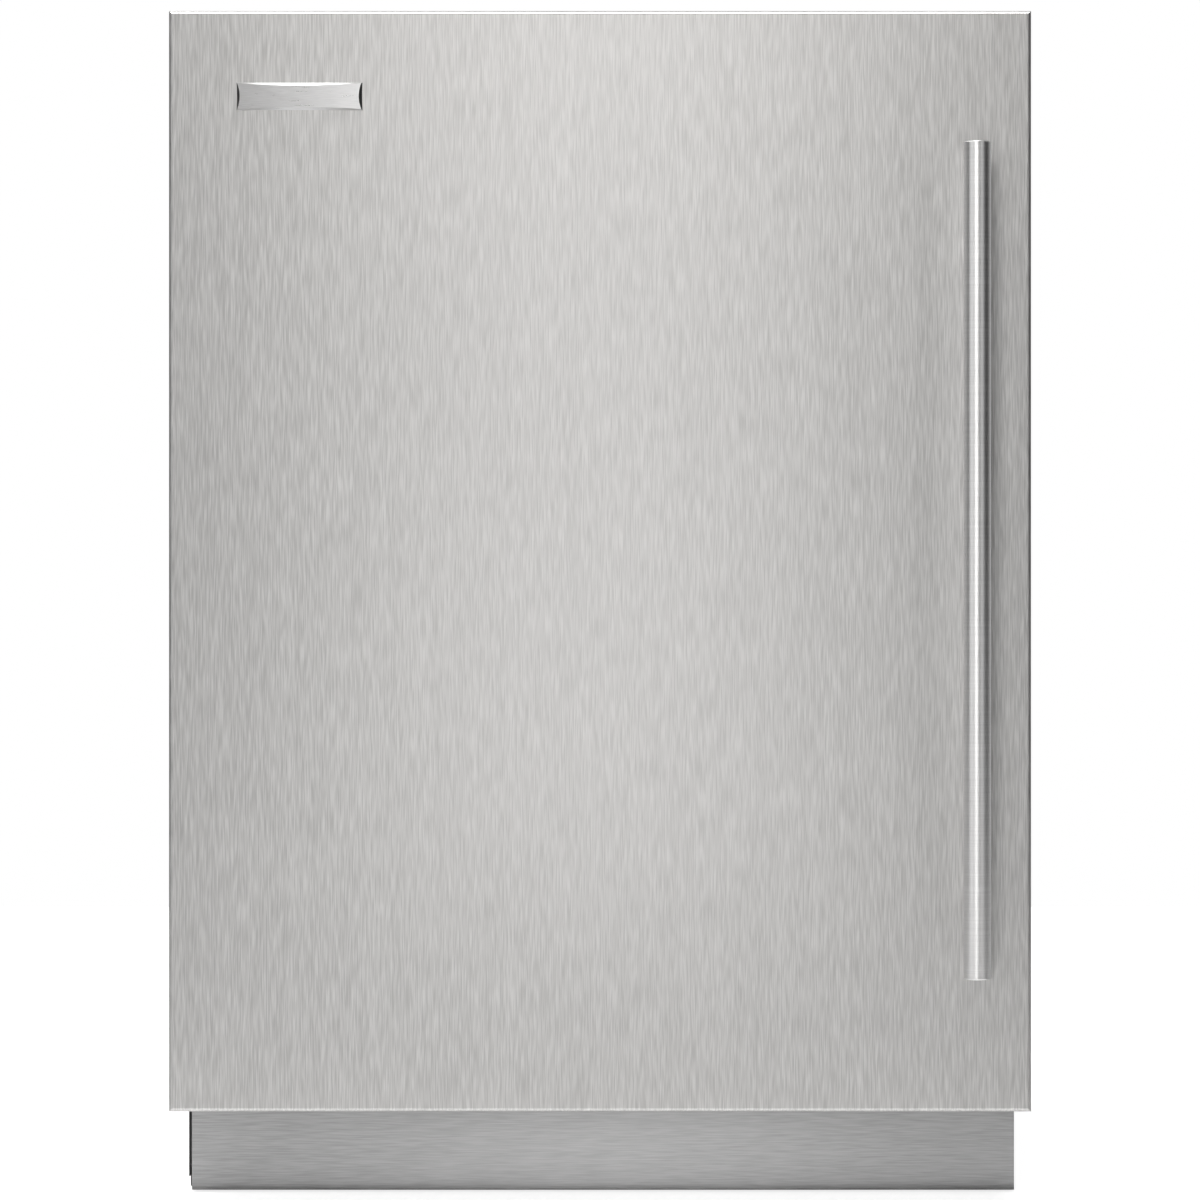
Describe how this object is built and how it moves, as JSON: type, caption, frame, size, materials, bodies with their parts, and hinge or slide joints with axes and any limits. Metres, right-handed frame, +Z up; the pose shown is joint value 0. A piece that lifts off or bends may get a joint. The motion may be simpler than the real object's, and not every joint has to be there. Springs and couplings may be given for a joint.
{
  "type": "undercounter refrigerator",
  "caption": "Free-standing undercounter refrigerator with a full overlay brushed stainless door, a vertical tubular handle and a recessed kick plate.",
  "frame": {"origin": "on the floor, at the middle of the width and of the depth from the handle's front to the screw heads at the back", "axes": "+X to the right of someone facing the door, +Y from the door to the back, +Z up"},
  "size_m": [0.6032, 0.667, 0.8395],
  "materials": {
    "brushed_stainless": "vertical brushed grain, satin",
    "satin_stainless": "satin",
    "painted_steel": "fine-texture powder coat",
    "painted_steel_door": "satin paint",
    "galvanised_steel": "dull zinc",
    "black_steel": "satin black paint",
    "zinc_steel": "bright zinc",
    "bright_steel": "ground",
    "white_lining": "moulded, soft gloss",
    "foam": "rigid foam, matt",
    "core_board": "matt",
    "black_plastic": "moulded, matt",
    "motor_black": "satin",
    "aluminium": "mill finish",
    "condenser_black": "satin black",
    "console_grey": "satin moulded",
    "dark_window": "gloss",
    "lens_white": "frosted",
    "key_grey": "satin",
    "black_rubber": "matt",
    "copper": "dull copper",
    "tray_grey": "matt",
    "satin_trim": "satin",
    "clear_glass": "clear tempered",
    "clear_bin": "clear moulded",
    "gasket_grey": "matt vinyl",
    "badge_metal": "satin with bevelled edges"
  },
  "bodies": {
    "cabinet": {"case_wrapper": "painted_steel", "case_deck": "galvanised_steel", "case_back_panel": "galvanised_steel", "rear_cover": "galvanised_steel", "cabinet_lining": "white_lining", "cabinet_insulation": "foam", "base_side_rails": "black_steel", "base_cross_rail": "black_steel", "compressor_tray": "black_steel", "kick_plate": "brushed_stainless", "top_hinge_plate": "zinc_steel", "bottom_hinge_plate": "zinc_steel", "hinge_pins": "bright_steel", "shelf_frames": "satin_trim", "shelf_glass": "clear_glass", "air_duct_cover": "white_lining", "evaporator_fan_grille": "white_lining", "evaporator_fan_motor": "motor_black", "evaporator_coil": "aluminium", "control_console": "console_grey", "display_window": "dark_window", "lamp_lens": "lens_white", "compressor": "black_steel", "compressor_mounts": "black_rubber", "compressor_relay_cover": "black_plastic", "condenser_coil": "condenser_black", "condenser_shroud": "black_plastic", "condenser_fan_motor": "motor_black", "refrigerant_lines": "copper", "drain_tube": "black_plastic", "melt_water_tray": "tray_grey", "power_inlet": "black_plastic", "cabinet_screws": "zinc_steel"},
    "door": {"door_panel_skin": "brushed_stainless", "door_panel_core": "core_board", "panel_brackets": "zinc_steel", "handle_tube": "satin_stainless", "handle_end_caps": "satin_stainless", "handle_posts": "satin_stainless", "handle_screws": "zinc_steel", "badge_plate": "badge_metal", "door_pan": "painted_steel_door", "door_insulation": "foam", "door_lining": "white_lining", "door_gasket": "gasket_grey", "lower_door_bin": "clear_bin", "middle_door_bin": "clear_bin", "bin_rails": "satin_trim", "dairy_box": "clear_bin", "hinge_bushes": "black_plastic"},
    "dairy_flap": {"dairy_lid": "clear_bin"},
    "evaporator_rotor": {"evaporator_fan_blades": "black_plastic"},
    "condenser_rotor": {"condenser_fan_blades": "aluminium"},
    "front_left_leg_body": {"front_left_leg": "zinc_steel"},
    "front_right_leg_body": {"front_right_leg": "zinc_steel"},
    "back_left_leg_body": {"back_left_leg": "zinc_steel"},
    "back_right_leg_body": {"back_right_leg": "zinc_steel"},
    "key_power_body": {"key_power": "key_grey"},
    "key_colder_body": {"key_colder": "key_grey"},
    "key_warmer_body": {"key_warmer": "key_grey"}
  },
  "joints": [
    {"name": "door_hinge", "type": "hinge", "parent": "cabinet", "child": "door", "pos_m": [-0.28563, -0.245, 0.45], "axis": [0, 0, -1], "range_deg": [0, 110]},
    {"name": "dairy_lid_hinge", "type": "hinge", "parent": "door", "child": "dairy_flap", "pos_m": [0, -0.2046, 0.6638], "axis": [1, 0, 0], "range_deg": [0, 85]},
    {"name": "evaporator_fan_spin", "type": "hinge", "parent": "cabinet", "child": "evaporator_rotor", "pos_m": [0, 0.224, 0.69], "axis": [0, 1, 0], "continuous": true},
    {"name": "condenser_fan_spin", "type": "hinge", "parent": "cabinet", "child": "condenser_rotor", "pos_m": [-0.13, 0.184, 0.14], "axis": [0, 1, 0], "continuous": true},
    {"name": "front_left_leg_height", "type": "slide", "parent": "cabinet", "child": "front_left_leg_body", "axis": [0, 0, -1], "range_m": [0, 0.025]},
    {"name": "front_right_leg_height", "type": "slide", "parent": "cabinet", "child": "front_right_leg_body", "axis": [0, 0, -1], "range_m": [0, 0.025]},
    {"name": "back_left_leg_height", "type": "slide", "parent": "cabinet", "child": "back_left_leg_body", "axis": [0, 0, -1], "range_m": [0, 0.025]},
    {"name": "back_right_leg_height", "type": "slide", "parent": "cabinet", "child": "back_right_leg_body", "axis": [0, 0, -1], "range_m": [0, 0.025]},
    {"name": "key_power_press", "type": "slide", "parent": "cabinet", "child": "key_power_body", "axis": [0, 1, 0], "range_m": [0, 0.001], "stiffness_N_per_m": 500},
    {"name": "key_colder_press", "type": "slide", "parent": "cabinet", "child": "key_colder_body", "axis": [0, 1, 0], "range_m": [0, 0.001], "stiffness_N_per_m": 500},
    {"name": "key_warmer_press", "type": "slide", "parent": "cabinet", "child": "key_warmer_body", "axis": [0, 1, 0], "range_m": [0, 0.001], "stiffness_N_per_m": 500}
  ]
}
